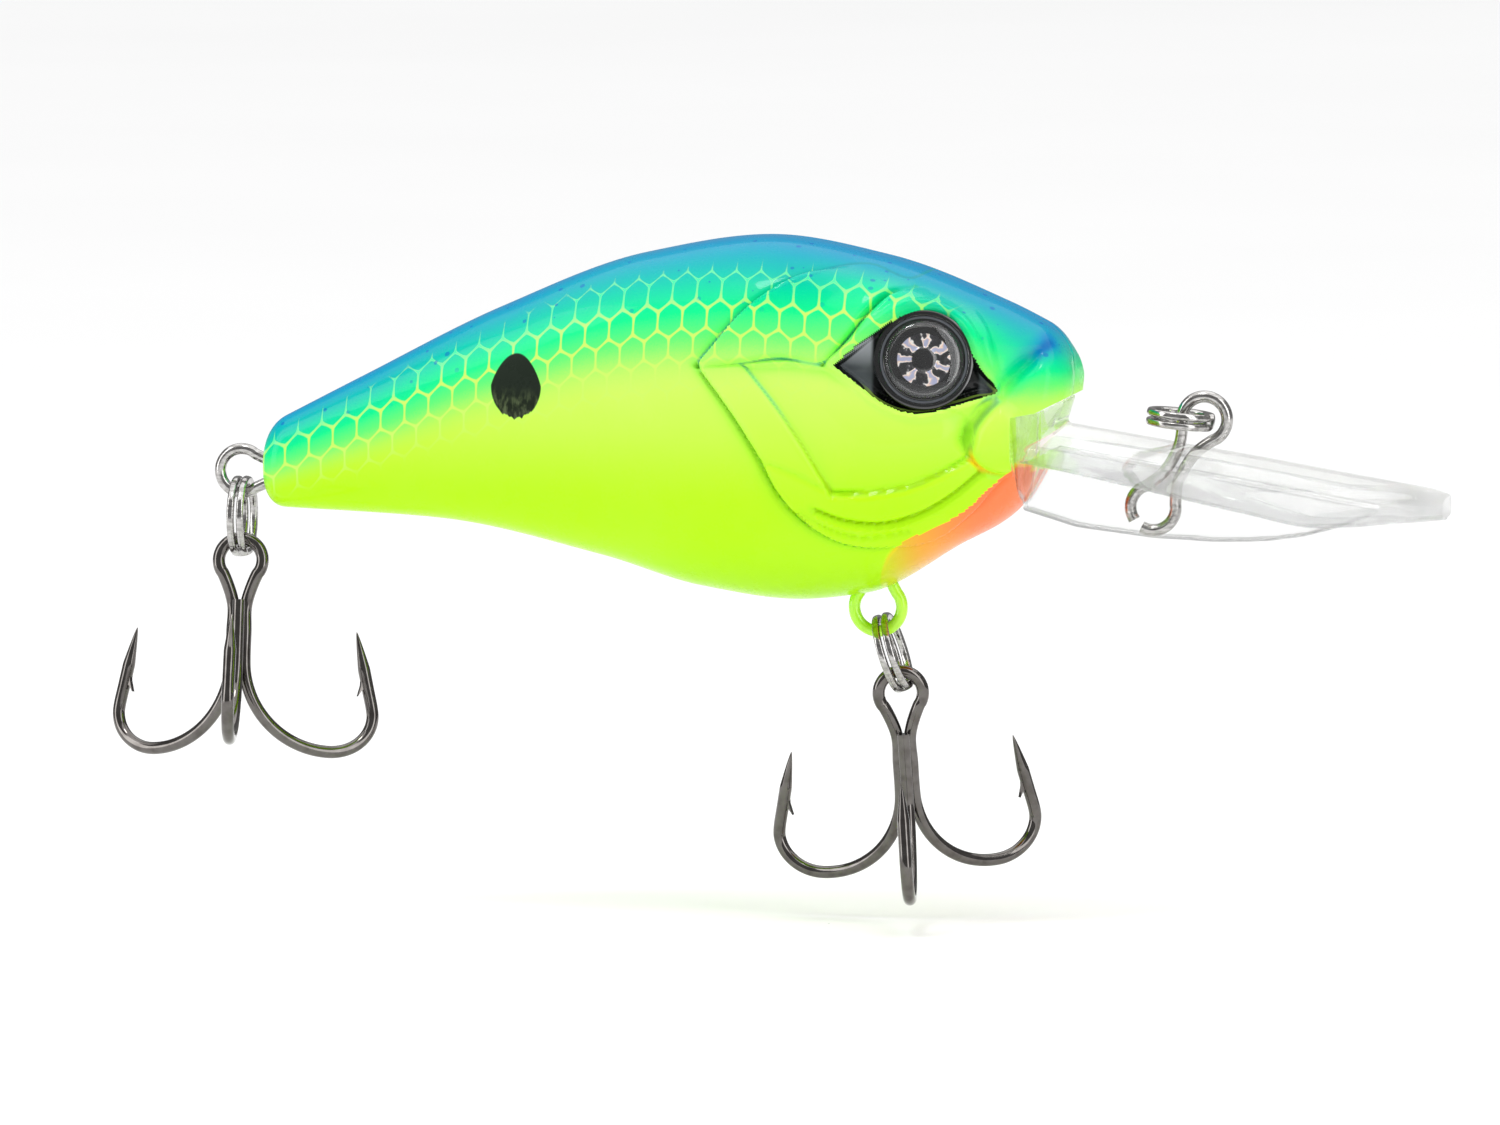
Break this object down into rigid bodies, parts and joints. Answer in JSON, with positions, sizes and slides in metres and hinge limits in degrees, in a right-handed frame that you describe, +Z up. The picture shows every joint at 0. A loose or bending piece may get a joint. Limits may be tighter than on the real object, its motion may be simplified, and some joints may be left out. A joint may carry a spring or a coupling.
{
  "type": "crankbait lure",
  "caption": "Deep-diving fishing lure: hollow painted fish-shaped body, clear arched diving lip, wire eyes, split rings and swinging treble hooks.",
  "frame": {"origin": "centre of the line-tie eye, the wire loop that stands on the diving lip", "axes": "+X the way the lure is pulled (tail to lip), +Y the lure's left side, +Z up; the lure sits with its nose slightly up and its hooks hanging down"},
  "size_m": [0.1078, 0.0272, 0.0524],
  "materials": {
    "body_paint": "airbrushed blue back over fluorescent chartreuse sides and an orange throat, under gloss clear coat",
    "clear_lip": "clear polycarbonate, polished",
    "eye_disc": "gloss black with a stepped iris ring and a silver pupil foil",
    "eye_lens": "clear resin dome",
    "bright_wire": "bright stainless wire",
    "painted_wire": "steel wire sprayed with the belly colour",
    "black_nickel": "black nickel plate over steel",
    "ballast_metal": "plain turned slug",
    "ball_steel": "polished ball"
  },
  "bodies": {
    "body": {"shell_right": "body_paint", "shell_left": "body_paint", "belly_weight": "ballast_metal", "eye_disc_right": "eye_disc", "eye_disc_left": "eye_disc", "eye_lens_right": "eye_lens", "eye_lens_left": "eye_lens", "diving_lip": "clear_lip", "line_tie_wire": "bright_wire", "belly_hanger": "painted_wire", "tail_hanger": "bright_wire"},
    "line_tie_ring": {"line_tie_split_ring": "bright_wire"},
    "front_ring": {"front_split_ring": "bright_wire"},
    "front_treble": {"front_treble_pair": "black_nickel", "front_treble_single": "black_nickel"},
    "rear_ring": {"rear_split_ring": "bright_wire"},
    "rear_treble": {"rear_treble_pair": "black_nickel", "rear_treble_single": "black_nickel"},
    "rattle_1": {"rattle_ball_1": "ball_steel"},
    "rattle_2": {"rattle_ball_2": "ball_steel"},
    "rattle_3": {"rattle_ball_3": "ball_steel"}
  },
  "joints": [
    {"name": "line_tie_ring_swing", "type": "hinge", "parent": "body", "child": "line_tie_ring", "pos_m": [0, 0, 0], "axis": [0, 1, 0], "range_deg": [-12, 185]},
    {"name": "front_ring_swing", "type": "hinge", "parent": "body", "child": "front_ring", "pos_m": [-0.02605, 0, -0.01525], "axis": [0, 1, 0], "range_deg": [-40, 50]},
    {"name": "front_treble_swing", "type": "hinge", "parent": "front_ring", "child": "front_treble", "pos_m": [-0.02488, 0, -0.01885], "axis": [0.9511, 0, 0.309], "range_deg": [-46, 32]},
    {"name": "rear_ring_swing", "type": "hinge", "parent": "body", "child": "rear_ring", "pos_m": [-0.0774, 0, -0.00515], "axis": [0, 1, 0], "range_deg": [-38, 95]},
    {"name": "rear_treble_swing", "type": "hinge", "parent": "rear_ring", "child": "rear_treble", "pos_m": [-0.0774, 0, -0.00878], "axis": [1, 0, 0], "range_deg": [-30, 50]},
    {"name": "rattle_ball_1_roll", "type": "slide", "parent": "body", "child": "rattle_1", "axis": [0, 1, 0], "range_m": [-0.0022, 0.0022]},
    {"name": "rattle_ball_2_roll", "type": "slide", "parent": "body", "child": "rattle_2", "axis": [0, 1, 0], "range_m": [-0.0032, 0.0032]},
    {"name": "rattle_ball_3_roll", "type": "slide", "parent": "body", "child": "rattle_3", "axis": [0, 1, 0], "range_m": [-0.004, 0.004]}
  ]
}
